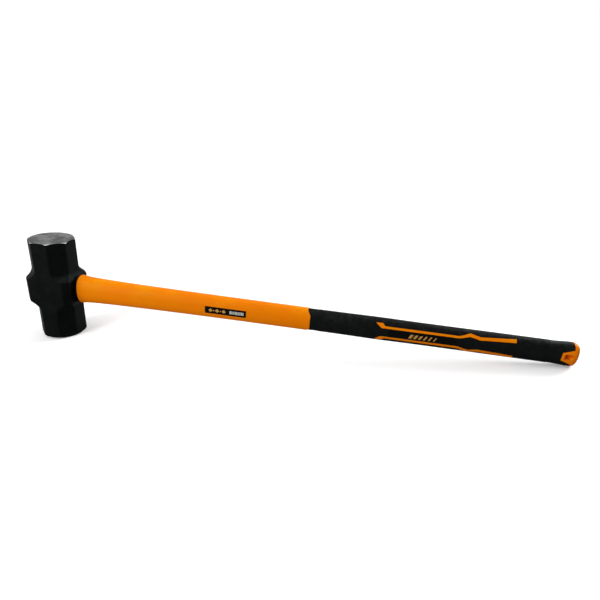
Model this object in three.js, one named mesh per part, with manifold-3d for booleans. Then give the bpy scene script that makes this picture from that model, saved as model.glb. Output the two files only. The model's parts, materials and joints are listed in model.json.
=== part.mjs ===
// Double-faced octagonal sledgehammer with a fibreglass-cored handle.
//
// The pieces are modelled in the hammer's own frame, in millimetres: the origin is the centre of the
// head's eye, Z is the striking axis, X runs down the handle towards the butt and Y is its thickness.
// At the end the whole hammer is leaned over until it stands on the rim of its lower striking face
// and on its butt, with the lowest point at Z = 0 and the middle of its box over the origin.

import * as THREE from 'three';
import { mergeVertices } from 'three/addons/utils/BufferGeometryUtils.js';
import Module from 'manifold-3d';

const wasm = await Module();
wasm.setup();

// ---- driving dimensions, mm ----

const GAP = 0.3;                  // clearance between touching pieces
const SEGMENTS = 40;              // sides of every oval section
const TURNED_SEGMENTS = 64;       // sides of the turned ends of the head

const ACROSS_FLATS = 66;          // octagonal striking ends
const HEAD_HALF_LENGTH = 84;
const EDGE_RADIUS = 5.2;          // turned round between each striking face and the octagon
const FACE_RADIUS = 30.8;         // flat, ground part of a striking face

const BLOCK_HALF_X = 38;          // eye block, wider along the handle than the octagon
const BLOCK_CHAMFER = 8.4;
const BLOCK_HALF_Z = 20.2;        // straight part of the eye block
const BLEND_END_Z = 34;           // where the hollow blends have died into the octagon

const EYE_MOUTH = [13.5, 18];     // half thickness and half height of the eye, handle side
const EYE_TOP = [15.5, 20];       // the same at the far side, where the eye is widest
const RESIN_RECESS = 1.6;         // the potting stops this far inside the far side of the eye

const OVAL = 2.3;                 // exponent of the oval sections: 2 is an ellipse, more is squarer
const THICKNESS_RATIO = 0.71;     // thickness of the handle over its height

const CORE_HALF = [9, 13.5];      // pultruded fibreglass bar
const CORE_START_X = -37;
const CORE_END_X = 806;

const COLLAR_END_X = 43.4;
const COLLAR_SPIGOT_X = 30;
const COLLAR_HALF_Z = 23.8;

const JACKET_START_X = 43.7;
const JACKET_END_X = 812;
const JACKET_LIP = 2;
const JACKET_HALF_Z = 18.7;       // slim part, ahead of the grip
const JACKET_FLARE = [4.0, 95];   // long flare towards the head: rise and decay length
const JACKET_BELL = [2.8, 10];    // short bell at the head end: rise and decay length
const UNDER_GRIP_HALF = [10.9, 15.6];

const PARTING_X = 433.5;              // where the jacket stops and the grip starts, on the flat sides
const PARTING_HALF_Z = 11;            // above and below this the parting line slants to the head
const PARTING_SLANT = 0.78;           // mm towards the head per mm up or down
const GRIP_END_X = 831.7;
const GRIP_HALF_Z = 17.8;
const PALM_SWELL = [0.5, 540, 45];     // rise, place and spread
const BUTT_SWELL = [1.4, 800, 832];    // rise, start and end

const CAP_START_X = 832;
const CAP_END_X = 842;
const CAP_ROUND = 6;
const TONGUE_START_X = 815.5;
const TONGUE_HALF_Z = [6.5, 13.2];     // at the tip and where it joins the cap
const HANG_HOLE = { x: 824.8, halfLength: 6.2, halfHeight: 3.6 };

const INLAY_PROUD = 0.3;
const LABEL = { x: [262, 330.5], z: [-7.4, 5.2], pocket: 0.6, thickness: 0.35 };
const BADGE = { x: [556, 662], halfZ: 5, nose: 4 };

// ---- small tools ----

function toSolid(geometry) {
  const bare = geometry.clone();
  bare.deleteAttribute('normal');
  bare.deleteAttribute('uv');
  const merged = mergeVertices(bare, 1e-4);
  return new wasm.Manifold(new wasm.Mesh({
    numProp: 3,
    vertProperties: new Float32Array(merged.attributes.position.array),
    triVerts: new Uint32Array(merged.index.array),
  }));
}

function toMesh(name, solid, material) {
  const { vertProperties, triVerts, numProp } = solid.getMesh();
  const geometry = new THREE.BufferGeometry();
  const position = new THREE.InterleavedBuffer(vertProperties, numProp);
  geometry.setAttribute('position', new THREE.InterleavedBufferAttribute(position, 3, 0));
  geometry.setIndex(new THREE.BufferAttribute(triVerts, 1));
  geometry.computeVertexNormals();
  const mesh = new THREE.Mesh(geometry, material);
  mesh.name = name;
  return mesh;
}

const finish = (color, roughness, metalness) =>
  new THREE.MeshStandardMaterial({ color, roughness, metalness });

const squared = (v) => Math.sign(v) * Math.abs(v) ** (2 / OVAL);

const smooth = (x, from, to) => THREE.MathUtils.smoothstep(x, from, to);

// Solid with an oval section that changes along X. A station is [x, half thickness, half height].
function ovalLoft(stations) {
  const steps = stations.length - 1;
  const geometry = new THREE.CylinderGeometry(1, 1, 1, SEGMENTS, steps);
  const points = geometry.attributes.position;
  for (let i = 0; i < points.count; i++) {
    const [x, halfY, halfZ] = stations[Math.round((points.getY(i) + 0.5) * steps)];
    points.setXYZ(i, x, halfY * squared(points.getZ(i)), halfZ * squared(points.getX(i)));
  }
  return toSolid(geometry);
}

const ovalBar = (fromX, toX, [halfY, halfZ], grow = 0) =>
  ovalLoft([[fromX, halfY + grow, halfZ + grow], [toX, halfY + grow, halfZ + grow]]);

// Stations of a surface whose half height is a function of x, moved outwards by `grow`.
const surfaceStations = (xs, halfHeight, grow = 0) =>
  xs.map((x) => [x, halfHeight(x) * THICKNESS_RATIO + grow, halfHeight(x) + grow]);

const spread = (from, to, steps) =>
  Array.from({ length: steps + 1 }, (_, i) => THREE.MathUtils.lerp(from, to, i / steps));

// Prism along Y from an outline in X and Z.
function prism(outline, fromY, toY) {
  const shape = outline instanceof THREE.Shape ? outline : new THREE.Shape(outline);
  const depth = toY - fromY;
  const geometry = new THREE.ExtrudeGeometry(shape, { depth, bevelEnabled: false, curveSegments: 8 });
  geometry.rotateX(Math.PI / 2);
  geometry.translate(0, toY, 0);
  return toSolid(geometry);
}

// The same on one side of the handle only: side is -1 for the front, 1 for the rear.
const sidePrism = (outline, side) => (side < 0 ? prism(outline, -30, -2) : prism(outline, 2, 30));

const throughPrism = (outline) => prism(outline, -32, 32);

const outlineOf = (pairs) => pairs.map(([x, z]) => new THREE.Vector2(x, z));

// The outline grown by a margin on all sides, corner by corner along the mitre.
function grown(outline, margin) {
  const count = outline.length;
  const turn = Math.sign(THREE.ShapeUtils.area(outline));
  return outline.map((corner, i) => {
    const into = corner.clone().sub(outline[(i + count - 1) % count]).normalize();
    const out = outline[(i + 1) % count].clone().sub(corner).normalize();
    const mitre = new THREE.Vector2(into.y + out.y, -into.x - out.x).normalize();
    const stretch = into.y * mitre.x - into.x * mitre.y;
    return corner.clone().addScaledVector(mitre, (turn * margin) / stretch);
  });
}

// ---- surfaces of the handle ----

function jacketHalf(x) {
  const along = x - JACKET_START_X;
  const flare = JACKET_FLARE[0] * Math.exp(-along / JACKET_FLARE[1]);
  const bell = JACKET_BELL[0] * Math.exp(-along / JACKET_BELL[1]);
  return JACKET_HALF_Z + flare + bell;
}

function gripHalf(x) {
  const [rise, place, width] = PALM_SWELL;
  const palm = rise * Math.exp(-(((x - place) / width) ** 2));
  return GRIP_HALF_Z + palm + BUTT_SWELL[0] * smooth(x, BUTT_SWELL[1], BUTT_SWELL[2]);
}

const gripXs = [...spread(415, BUTT_SWELL[1], 9), ...spread(808, CAP_START_X, 3)];

// Layer between the jacket under the grip and the grip's surface, from which the inlays are cut.
function gripLayer(fromX, toX, proud) {
  const xs = spread(fromX, toX, 8);
  const outside = ovalLoft(surfaceStations(xs, gripHalf, proud));
  return outside.subtract(ovalBar(fromX - 1, toX + 1, UNDER_GRIP_HALF, GAP));
}

// ---- outlines on the side of the grip, X and Z ----

const upperInlay = outlineOf([
  [546, 7], [664, 7], [680, 11.2], [695, 8], [748, 10.6], [748, 15.4],
  [695, 12.6], [680, 15.6], [664, 10.8], [551, 10.8], [545.5, 15.4], [537, 15.4],
]);

const lowerInlay = upperInlay.map((p) => new THREE.Vector2(p.x, -p.y)).reverse();

const badgeOutline = outlineOf([
  [BADGE.x[0], 0], [BADGE.x[0] + BADGE.nose, -BADGE.halfZ], [BADGE.x[1] - BADGE.nose, -BADGE.halfZ],
  [BADGE.x[1], 0], [BADGE.x[1] - BADGE.nose, BADGE.halfZ], [BADGE.x[0] + BADGE.nose, BADGE.halfZ],
]);

const labelOutline = outlineOf([
  [LABEL.x[0], LABEL.z[0]], [LABEL.x[1], LABEL.z[0]], [LABEL.x[1], LABEL.z[1]], [LABEL.x[0], LABEL.z[1]],
]);

const slantedX = PARTING_X - PARTING_SLANT * (30 - PARTING_HALF_Z);

const jacketOutline = outlineOf([
  [0, -30], [slantedX, -30], [PARTING_X, -PARTING_HALF_Z],
  [PARTING_X, PARTING_HALF_Z], [slantedX, 30], [0, 30],
]);

const tongueOutline = outlineOf([
  [TONGUE_START_X, -TONGUE_HALF_Z[0]], [CAP_START_X + 1, -TONGUE_HALF_Z[1]],
  [CAP_START_X + 1, TONGUE_HALF_Z[1]], [TONGUE_START_X, TONGUE_HALF_Z[0]],
]);

// ---- the pieces ----

const eyeStations = (grow) => [
  [-BLOCK_HALF_X - 1, EYE_TOP[0] + grow, EYE_TOP[1] + grow],
  [BLOCK_HALF_X + 1, EYE_MOUTH[0] + grow, EYE_MOUTH[1] + grow],
];

// 0 on the octagonal ends, 1 on the eye block, with a hollow blend between.
function blockShare(z) {
  const share = (BLEND_END_Z - Math.abs(z)) / (BLEND_END_Z - BLOCK_HALF_Z);
  return THREE.MathUtils.clamp(share, 0, 1) ** 2;
}

function headForging() {
  const BLEND_STEPS = 7;
  const half = ACROSS_FLATS / 2;
  const corner = half * Math.tan(Math.PI / 8);
  const blend = spread(BLOCK_HALF_Z, BLEND_END_Z, BLEND_STEPS);
  const zs = [-HEAD_HALF_LENGTH, ...blend.map((z) => -z).reverse(), ...blend, HEAD_HALF_LENGTH];
  const steps = zs.length - 1;
  const geometry = new THREE.CylinderGeometry(1, 1, 1, 8, steps, false, Math.PI / 8);
  const points = geometry.attributes.position;
  for (let i = 0; i < points.count; i++) {
    const z = zs[Math.round((points.getY(i) + 0.5) * steps)];
    const across = points.getZ(i);
    const away = points.getX(i);
    const sideways = Math.abs(across) > Math.abs(away);
    const onAxis = Math.hypot(across, away) < 0.5;
    const share = blockShare(z);
    const octagon = sideways ? [half, corner] : [corner, half];
    const block = sideways ? [BLOCK_HALF_X, half - BLOCK_CHAMFER] : [BLOCK_HALF_X - BLOCK_CHAMFER, half];
    const x = Math.sign(across) * THREE.MathUtils.lerp(octagon[0], block[0], share);
    const y = Math.sign(away) * THREE.MathUtils.lerp(octagon[1], block[1], share);
    points.setXYZ(i, onAxis ? 0 : x, onAxis ? 0 : y, z);
  }
  return toSolid(geometry);
}

function turnedEnvelope() {
  const ARC_STEPS = 5;
  const CLEAR_RADIUS = 60;
  const arc = spread(0, Math.PI / 2, ARC_STEPS).map((angle) => new THREE.Vector2(
    FACE_RADIUS + EDGE_RADIUS * Math.sin(angle),
    HEAD_HALF_LENGTH - EDGE_RADIUS + EDGE_RADIUS * Math.cos(angle),
  ));
  const upper = [new THREE.Vector2(0, HEAD_HALF_LENGTH), ...arc,
    new THREE.Vector2(CLEAR_RADIUS, HEAD_HALF_LENGTH - EDGE_RADIUS)];
  const lower = upper.map((p) => new THREE.Vector2(p.x, -p.y));
  const geometry = new THREE.LatheGeometry([...lower, ...upper.reverse()], TURNED_SEGMENTS);
  geometry.rotateX(Math.PI / 2);
  return toSolid(geometry);
}

function head() {
  return headForging().intersect(turnedEnvelope()).subtract(ovalLoft(eyeStations(0)));
}

function handleCore() {
  return ovalBar(CORE_START_X, CORE_END_X, CORE_HALF);
}

function eyeResin() {
  const ends = ovalBar(-BLOCK_HALF_X + RESIN_RECESS, COLLAR_SPIGOT_X - GAP, [30, 30]);
  const bore = ovalBar(CORE_START_X - 5, COLLAR_END_X, CORE_HALF, GAP);
  return ovalLoft(eyeStations(-GAP)).intersect(ends).subtract(bore);
}

function eyeCollar() {
  const spigot = EYE_MOUTH.map((half) => half - GAP);
  const thickness = COLLAR_HALF_Z * THICKNESS_RATIO;
  const flange = ovalLoft([
    [COLLAR_SPIGOT_X, ...spigot],
    [BLOCK_HALF_X + GAP, ...spigot],
    [BLOCK_HALF_X + GAP, thickness, COLLAR_HALF_Z],
    [COLLAR_END_X - 1, thickness, COLLAR_HALF_Z],
    [COLLAR_END_X, thickness - 1, COLLAR_HALF_Z - 1],
  ]);
  return flange.subtract(ovalBar(0, COLLAR_END_X + 5, CORE_HALF, GAP));
}

function handleJacket() {
  const lip = spread(0, Math.PI / 2, 3).map((angle) => {
    const x = JACKET_START_X + JACKET_LIP * (1 - Math.cos(angle));
    const half = jacketHalf(x) - JACKET_LIP * (1 - Math.sin(angle));
    return [x, half * THICKNESS_RATIO, half];
  });
  const body = surfaceStations([50, 57, 66, 80, 100, 130, 170, 220, 290, 360, PARTING_X + 1], jacketHalf);
  const outside = ovalLoft([...lip, ...body]).intersect(throughPrism(jacketOutline))
    .add(ovalBar(JACKET_START_X + JACKET_LIP, JACKET_END_X, UNDER_GRIP_HALF));
  const bore = ovalBar(0, JACKET_END_X + 10, CORE_HALF, GAP);
  const xs = spread(LABEL.x[0] - 5, LABEL.x[1] + 5, 4);
  const pocket = sidePrism(grown(labelOutline, GAP), -1)
    .subtract(ovalLoft(surfaceStations(xs, jacketHalf, -LABEL.pocket)));
  return outside.subtract(bore).subtract(pocket);
}

function label() {
  const xs = spread(LABEL.x[0] - 5, LABEL.x[1] + 5, 4);
  const bottom = GAP - LABEL.pocket;
  const film = ovalLoft(surfaceStations(xs, jacketHalf, bottom + LABEL.thickness))
    .subtract(ovalLoft(surfaceStations([xs[0] - 1, ...xs.slice(1, -1), xs.at(-1) + 1], jacketHalf, bottom)));
  return film.intersect(sidePrism(labelOutline, -1));
}

function gripSleeve() {
  const outside = ovalLoft(surfaceStations([...gripXs.slice(0, -1), GRIP_END_X], gripHalf));
  let sleeve = outside.subtract(throughPrism(grown(jacketOutline, GAP)))
    .subtract(ovalBar(0, CAP_START_X + 5, UNDER_GRIP_HALF, GAP));
  for (const side of [-1, 1]) {
    for (const outline of [upperInlay, lowerInlay, badgeOutline, tongueOutline]) {
      sleeve = sleeve.subtract(sidePrism(grown(outline, GAP), side));
    }
  }
  return sleeve;
}

function gripInlay(outline, side, proud) {
  const xs = outline.map((p) => p.x);
  return gripLayer(Math.min(...xs) - 2, Math.max(...xs) + 2, proud).intersect(sidePrism(outline, side));
}

function hangHole() {
  const { x, halfLength, halfHeight } = HANG_HOLE;
  const shape = new THREE.Shape();
  shape.absarc(x + halfLength - halfHeight, 0, halfHeight, -Math.PI / 2, Math.PI / 2);
  shape.absarc(x - halfLength + halfHeight, 0, halfHeight, Math.PI / 2, Math.PI * 1.5);
  return throughPrism(shape);
}

function buttCap() {
  const full = gripHalf(CAP_START_X);
  const dome = spread(0, Math.PI / 2, 5).map((angle) => {
    const inset = CAP_ROUND * (1 - Math.cos(angle));
    const x = CAP_END_X - CAP_ROUND + CAP_ROUND * Math.sin(angle);
    return [x, full * THICKNESS_RATIO - inset, full - inset];
  });
  const body = ovalLoft([
    [JACKET_END_X + GAP, ...UNDER_GRIP_HALF],
    [CAP_START_X, ...UNDER_GRIP_HALF],
    [CAP_START_X, full * THICKNESS_RATIO, full],
    ...dome,
  ]);
  const xs = spread(TONGUE_START_X - 1, CAP_START_X + 0.5, 4);
  const surface = ovalLoft(surfaceStations(xs, gripHalf));
  const tongues = [-1, 1].map((side) => surface.intersect(sidePrism(tongueOutline, side)));
  return tongues.reduce((whole, tongue) => whole.add(tongue), body).subtract(hangHole());
}

// ---- assembly ----

const blackPaint = finish(0x1c201f, 0.45, 0.3);
const resin = finish(0x6b5a33, 0.35, 0);
const blackNylon = finish(0x101112, 0.6, 0);
const fibreglass = finish(0xd8c98f, 0.5, 0);
const orange = finish(0xf08a06, 0.38, 0);
const rubber = finish(0x262a2b, 0.8, 0);
const gloss = finish(0x121415, 0.35, 0);
const film = finish(0x0c0c0d, 0.3, 0);

const hammer = new THREE.Group();
hammer.add(
  toMesh('head', head(), blackPaint),
  toMesh('eye_resin', eyeResin(), resin),
  toMesh('eye_collar', eyeCollar(), blackNylon),
  toMesh('handle_core', handleCore(), fibreglass),
  toMesh('handle_jacket', handleJacket(), orange),
  toMesh('label_front', label(), film),
  toMesh('grip_sleeve', gripSleeve(), rubber),
  toMesh('butt_cap', buttCap(), orange),
);
for (const [place, side] of [['front', -1], ['rear', 1]]) {
  hammer.add(
    toMesh(`grip_inlay_${place}_upper`, gripInlay(upperInlay, side, INLAY_PROUD), orange),
    toMesh(`grip_inlay_${place}_lower`, gripInlay(lowerInlay, side, INLAY_PROUD), orange),
    toMesh(`grip_badge_${place}`, gripInlay(badgeOutline, side, 0), gloss),
  );
}

// The lean that puts the lower face's turned rim and the lowest point of the butt on one floor.
const rimX = FACE_RADIUS;
const rimZ = -(HEAD_HALF_LENGTH - EDGE_RADIUS);
const buttX = CAP_END_X - CAP_ROUND;
const buttZ = -gripHalf(CAP_START_X);
const lean = Math.atan2(buttZ - rimZ, buttX - rimX)
  + Math.asin(EDGE_RADIUS / Math.hypot(buttX - rimX, buttZ - rimZ));
hammer.rotation.y = lean;

const sledgehammer = new THREE.Group();
sledgehammer.add(hammer);
const box = new THREE.Box3().setFromObject(sledgehammer, true);
const middle = box.getCenter(new THREE.Vector3());
hammer.position.set(-middle.x, -middle.y, -box.min.z);

export default sledgehammer;
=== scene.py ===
import json
import math

import bmesh
import bpy
from mathutils import Matrix, Vector


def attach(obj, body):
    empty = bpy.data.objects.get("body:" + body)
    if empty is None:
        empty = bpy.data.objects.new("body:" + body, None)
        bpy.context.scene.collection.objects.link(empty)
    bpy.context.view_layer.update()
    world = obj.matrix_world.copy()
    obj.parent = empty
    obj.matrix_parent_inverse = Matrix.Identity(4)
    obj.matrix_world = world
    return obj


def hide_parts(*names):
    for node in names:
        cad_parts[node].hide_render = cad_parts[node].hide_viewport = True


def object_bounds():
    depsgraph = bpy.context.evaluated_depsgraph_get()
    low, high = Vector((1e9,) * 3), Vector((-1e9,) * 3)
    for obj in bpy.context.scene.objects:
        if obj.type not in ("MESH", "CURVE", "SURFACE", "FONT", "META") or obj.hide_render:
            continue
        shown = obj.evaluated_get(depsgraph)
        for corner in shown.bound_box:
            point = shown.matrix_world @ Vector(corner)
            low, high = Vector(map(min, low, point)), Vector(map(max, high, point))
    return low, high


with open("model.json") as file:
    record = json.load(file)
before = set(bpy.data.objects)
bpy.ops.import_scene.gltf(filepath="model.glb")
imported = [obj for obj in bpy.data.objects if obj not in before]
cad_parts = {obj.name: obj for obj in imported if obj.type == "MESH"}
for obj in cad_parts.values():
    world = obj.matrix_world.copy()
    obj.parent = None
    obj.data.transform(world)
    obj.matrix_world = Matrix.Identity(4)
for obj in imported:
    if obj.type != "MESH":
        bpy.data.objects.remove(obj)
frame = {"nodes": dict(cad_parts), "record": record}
CAD_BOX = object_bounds()

# ---- the hammer's own frame ----
# Pieces are modelled in millimetres about the centre of the head's eye: Z is the striking axis, X runs
# down the handle and Y is its thickness. set_in_place() then leans them over as the whole hammer leans.

MM = 0.001
MOUNTS = {mount["name"]: mount for mount in frame["record"]["mounts"]}
UPPER_FACE = Vector(MOUNTS["upper_striking_face"]["pos_m"])
LOWER_FACE = Vector(MOUNTS["lower_striking_face"]["pos_m"])
STRIKING_AXIS = (UPPER_FACE - LOWER_FACE).normalized()
LEAN = math.atan2(STRIKING_AXIS.x, STRIKING_AXIS.z)
EYE = (UPPER_FACE + LOWER_FACE) / 2
HAMMER_TO_ROW = Matrix.Translation(EYE) @ Matrix.Rotation(LEAN, 4, "Y") @ Matrix.Scale(MM, 4)
ROW_TO_HAMMER = HAMMER_TO_ROW.inverted()


def extent(node):
    """Lowest and highest corner of a CAD node in the hammer's own frame, in mm."""
    points = [ROW_TO_HAMMER @ vertex.co for vertex in frame["nodes"][node].data.vertices]
    return Vector(map(min, zip(*points))), Vector(map(max, zip(*points)))


_, HEAD_HIGH = extent("head")
COLLAR_LOW, COLLAR_HIGH = extent("eye_collar")
JACKET_LOW, JACKET_HIGH = extent("handle_jacket")
CORE_LOW, CORE_HIGH = extent("handle_core")
CAP_LOW, CAP_HIGH = extent("butt_cap")
LABEL_LOW, LABEL_HIGH = extent("label_front")

# ---- driving values, mm ----
# A half section is (half thickness, half height). The outline of a strip or cut on the handle's sides
# is a list of (x, lowest z, highest z). A wall is (bottom, top), both measured out from the surface.

GAP = 0.3                       # between pieces that touch
OVAL = 2.3                      # exponent of the oval sections: 2 is an ellipse, more is squarer
THICKNESS_RATIO = 0.71          # thickness of the handle over its height
SIDES = 96                      # of an oval section
CLEAR = 40                      # further from the middle plane than any side of the handle
PAST = 5                        # how far a bore runs past what it cuts
POINT = 0.01                    # height of a pointed end
FRONT, REAR = -1, 1

# head
BLOCK_CHAMFER = 8.4
BLOCK_HALF_Z = 20.2             # straight part of the eye block
BLEND_END_Z = 37.5              # where the blends have died into the octagon
BLEND_HOLLOW = 2.4              # the higher, the more hollow the blend
BLEND_STEPS = 12
FORGED_EDGE = 1.7
TURNED_RADIUS = 4.0             # round between a striking face and the octagon
TURNED_SIDES = 160
FACE_RADIUS = 31.8
FACE_CROWN = 0.5
FACE_RINGS = 6

# eye
EYE_MOUTH = (13.5, 18)          # half section on the handle's side
EYE_TOP = (15.5, 20)            # half section on the far side
TOP_FLARE = [(-1, 2.2), (0.6, 0.6), (2, 0)]     # depth inside the block's face, and widening
MOUTH_FLARE = [(2, 0), (-1, 2)]
POTTING_RECESS = 1.6            # the potting stops this far inside the far side
POTTING_SINK = 1.1              # and has sunk this much more round the bar
SAWN_EDGE = 0.5

# collar: distance along X, and rise from its half section
COLLAR_GROOVE = [(0, -0.5), (0.5, 0), (1.9, 0), (2.2, -0.5), (2.8, -0.5), (3.1, 0)]
COLLAR_NOSE = [(-0.8, -0.3), (0, -1.2)]

# jacket
JACKET_HALF_Z = 18.7
JACKET_FLARE = (4.0, 95)        # rise towards the head and its decay length
JACKET_BELL = (1.9, 9)          # the same for the short bell at the mouth
JACKET_LIP = 1.3
PARTING_X = 433.5               # where the jacket stops and the grip starts, on the flat sides
PARTING_HALF_Z = 11             # above and below this the parting line slants to the head
PARTING_SLANT = 0.78            # mm towards the head for each mm up or down
UNDER_GRIP = (10.9, 15.6)       # half section of the stepped-down part

# grip
GRIP_HALF_Z = 17.8
PALM_SWELL = (0.5, 540, 45)     # rise, place and spread
BUTT_SWELL = (1.4, 800, 832)    # rise, start and end
RIB_PITCH = 3.3
RIB_HEIGHT = 0.45
RIB_FOOT = (0, 2.5)             # along the pitch
RIB_TOP = (0.5, 2.0)
RIBS_START_X = 447
RIB_COUNT = 107
RIB_BAND_Z = 8.2                # the ribs are only above and below this
RIB_FADE_Z = 0.9                # and reach their full height this much further out

# butt cap
CAP_START_X = 832.8
CAP_PROUD = 0.6                 # the crown of the dome past the end of the CAD cap
CAP_DOME = (9.2, 8.6)           # how far the dome stands out and how far it pulls in
TONGUE = [(816.2, -6.3, 6.1), (834, -13.2, 12.4)]
TONGUE_PROUD = 0.12
HANG_HOLE = [(820, -4.5, 4.4), (829, -4.5, 4.4), (834.6, 2.4, 4.4)]
HANG_HOLE_CORNER = 0.7

# inlays, badge and label
UPPER_INLAY = [
    (537, 14.1, 14.4), (545.5, 7.3, 14.4), (547.5, 7.2, 14.4), (551, 7.2, 10.5), (664, 7.1, 10.5),
    (680, 11.2, 15.6), (695, 8.2, 12.6), (748, 11.2, 15.8),
]
INLAY_WALL = (-1.2, 0.3)
INLAY_FORM = (520, 780)         # stretch of the grip that carries the inlays
BADGE = [(556, -0.4, 0.4), (560, -5, 5), (658, -5, 5), (662, -0.4, 0.4)]
BADGE_WALL = (-0.8, 0.1)
BADGE_POCKET_FLOOR = 11.4       # off the handle's middle plane
BADGE_MARK_WALL = (0.1, 0.3)
BADGE_BAR_Z = (-4, 2.6)
BADGE_BARS = [(588 + 7.6 * i, 4.4 - 0.5 * i) for i in range(6)]         # start and width of each bar
BAR_LEAN = 0.55                 # mm towards the butt for each mm up

LABEL = [(LABEL_LOW.x + GAP, -7.1, 4.9), (LABEL_HIGH.x - GAP, -7.1, 4.9)]
LABEL_WALL = (-0.2, 0.12)
LABEL_POCKET_WALL = (-0.25, 3)
LABEL_MARK_WALL = (0.05, 0.2)
LABEL_FORM = (LABEL_LOW.x - 8, LABEL_HIGH.x + 8)
LABEL_GOLD = [
    *[[(x, -1.2, -1), (x + 3.6, -4.4, 2.2), (x + 7.2, -1.2, -1)] for x in (268, 279, 290)],
    *[[(x, -2.2, 0), (x + 1.6, -2.2, 0)] for x in (276.3, 287.3)],
]
LABEL_GREY = [
    [(x, -3.8, 1.6), (x + width, -3.8, 1.6)]
    for x, width in ((303, 4.2), (308, 2.6), (311.4, 5), (317.2, 3), (321, 5.4))
]

CORE_HALF = (CORE_HIGH.y, CORE_HIGH.z)
COLLAR_HALF = (COLLAR_HIGH.y, COLLAR_HIGH.z)


def wider(half_section, margin):
    """A half section with a margin all round."""
    return half_section[0] + margin, half_section[1] + margin


def mirrored(outline):
    """An outline turned upside down."""
    return [(x, -high, -low) for x, low, high in outline]


def grown(outline, margin):
    """An outline with a margin all round."""
    first, *between, last = [(x, low - margin, high + margin) for x, low, high in outline]
    return [(first[0] - margin, *first[1:]), *between, (last[0] + margin, *last[1:])]


def spread(start, end, steps):
    """Even places from start to end, both of them included."""
    return [start + (end - start) * i / steps for i in range(steps + 1)]


def jacket_half(x):
    """Half height of the jacket: straight, with a long flare and a short bell at the head."""
    along = x - JACKET_LOW.x
    flare = JACKET_FLARE[0] * math.exp(-along / JACKET_FLARE[1])
    return JACKET_HALF_Z + flare + JACKET_BELL[0] * math.exp(-along / JACKET_BELL[1])


def grip_half(x):
    """Half height of the grip: straight, with a palm swell and a rise to the butt."""
    rise, place, width = PALM_SWELL
    butt_rise, start, end = BUTT_SWELL
    share = min(max((x - start) / (end - start), 0), 1)
    palm = rise * math.exp(-(((x - place) / width) ** 2))
    return GRIP_HALF_Z + palm + butt_rise * share * share * (3 - 2 * share)


def surface_stations(xs, half_height, margin=0):
    """Stations of a surface whose half height depends on x, moved outwards by a margin."""
    return [(x, *wider((half_height(x) * THICKNESS_RATIO, half_height(x)), margin)) for x in xs]


# ---- modelling tools ----


def pick(*pieces):
    """Selects these pieces and nothing else. The first one is the active one."""
    bpy.ops.object.select_all(action="DESELECT")
    for piece in pieces:
        piece.select_set(True)
    bpy.context.view_layer.objects.active = pieces[0]


def edit(piece, mode="VERT"):
    """Opens a piece in edit mode, to work on its verts, edges or faces."""
    pick(piece)
    bpy.ops.object.mode_set(mode="EDIT")
    bpy.ops.mesh.select_mode(type=mode)


def leave():
    bpy.ops.object.mode_set(mode="OBJECT")


def select(kind, test):
    """In edit mode, selects the verts, edges or faces that pass a test, and nothing else."""
    piece = bpy.context.edit_object
    bpy.ops.mesh.select_all(action="DESELECT")
    mesh = bmesh.from_edit_mesh(piece.data)
    for item in [item for item in getattr(mesh, kind) if test(item)]:
        item.select_set(True)
    mesh.select_flush_mode()
    bmesh.update_edit_mesh(piece.data)


def new_piece(name):
    """Names the object that an operator has just made."""
    piece = bpy.context.object
    piece.name = name
    piece.data.name = name
    return piece


def apply_modifiers(piece):
    pick(piece)
    for modifier in list(piece.modifiers):
        bpy.ops.object.modifier_apply(modifier=modifier.name)


def remove(piece):
    bpy.data.objects.remove(piece)


def face_outwards(piece):
    edit(piece)
    bpy.ops.mesh.select_all(action="SELECT")
    bpy.ops.mesh.normals_make_consistent(inside=False)
    leave()


def clean(piece, reach):
    """Merges corners that lie closer together than reach."""
    edit(piece)
    bpy.ops.mesh.select_all(action="SELECT")
    bpy.ops.mesh.remove_doubles(threshold=reach)
    bpy.ops.mesh.dissolve_degenerate(threshold=reach / 3)
    leave()


def combine(piece, other, operation):
    """Joins, cuts or intersects a piece with another one, which is then removed."""
    modifier = piece.modifiers.new("combine", "BOOLEAN")
    modifier.operation = operation
    modifier.solver = "EXACT"
    modifier.object = other
    modifier.material_mode = "TRANSFER"
    apply_modifiers(piece)
    remove(other)


def soften(piece, width, angle, segments=2):
    """Rounds every edge that turns by more than an angle, in degrees."""
    modifier = piece.modifiers.new("soften", "BEVEL")
    modifier.width = width
    modifier.segments = segments
    modifier.limit_method = "ANGLE"
    modifier.angle_limit = math.radians(angle)
    modifier.use_clamp_overlap = True
    apply_modifiers(piece)


def oval_bar(name, stations, sides=SIDES):
    """Closed bar along X with an oval section. A station is (x, half thickness, half height)."""
    (x, half_y, half_z), *others = stations
    bpy.ops.mesh.primitive_plane_add(size=2, location=(x, 0, 0), rotation=(0, math.pi / 2, 0))
    piece = new_piece(name)
    bpy.ops.object.transform_apply(location=True, rotation=True, scale=True)
    edit(piece)
    bpy.ops.mesh.select_all(action="SELECT")
    bpy.ops.mesh.bevel(
        offset_type="PERCENT", offset_pct=50, segments=sides // 4, profile=0.25 ** (1 / OVAL),
        affect="VERTICES",
    )
    bpy.ops.mesh.remove_doubles(threshold=0.0001)
    bpy.ops.transform.resize(value=(1, half_y, half_z), center_override=(x, 0, 0))
    for next_x, next_y, next_z in others:
        bpy.ops.mesh.extrude_region_move(TRANSFORM_OT_translate={"value": (next_x - x, 0, 0)})
        bpy.ops.transform.resize(
            value=(1, next_y / half_y, next_z / half_z), center_override=(next_x, 0, 0)
        )
        x, half_y, half_z = next_x, next_y, next_z
    bpy.ops.mesh.select_all(action="SELECT")
    bpy.ops.mesh.normals_make_consistent(inside=False)
    leave()
    return piece


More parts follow.
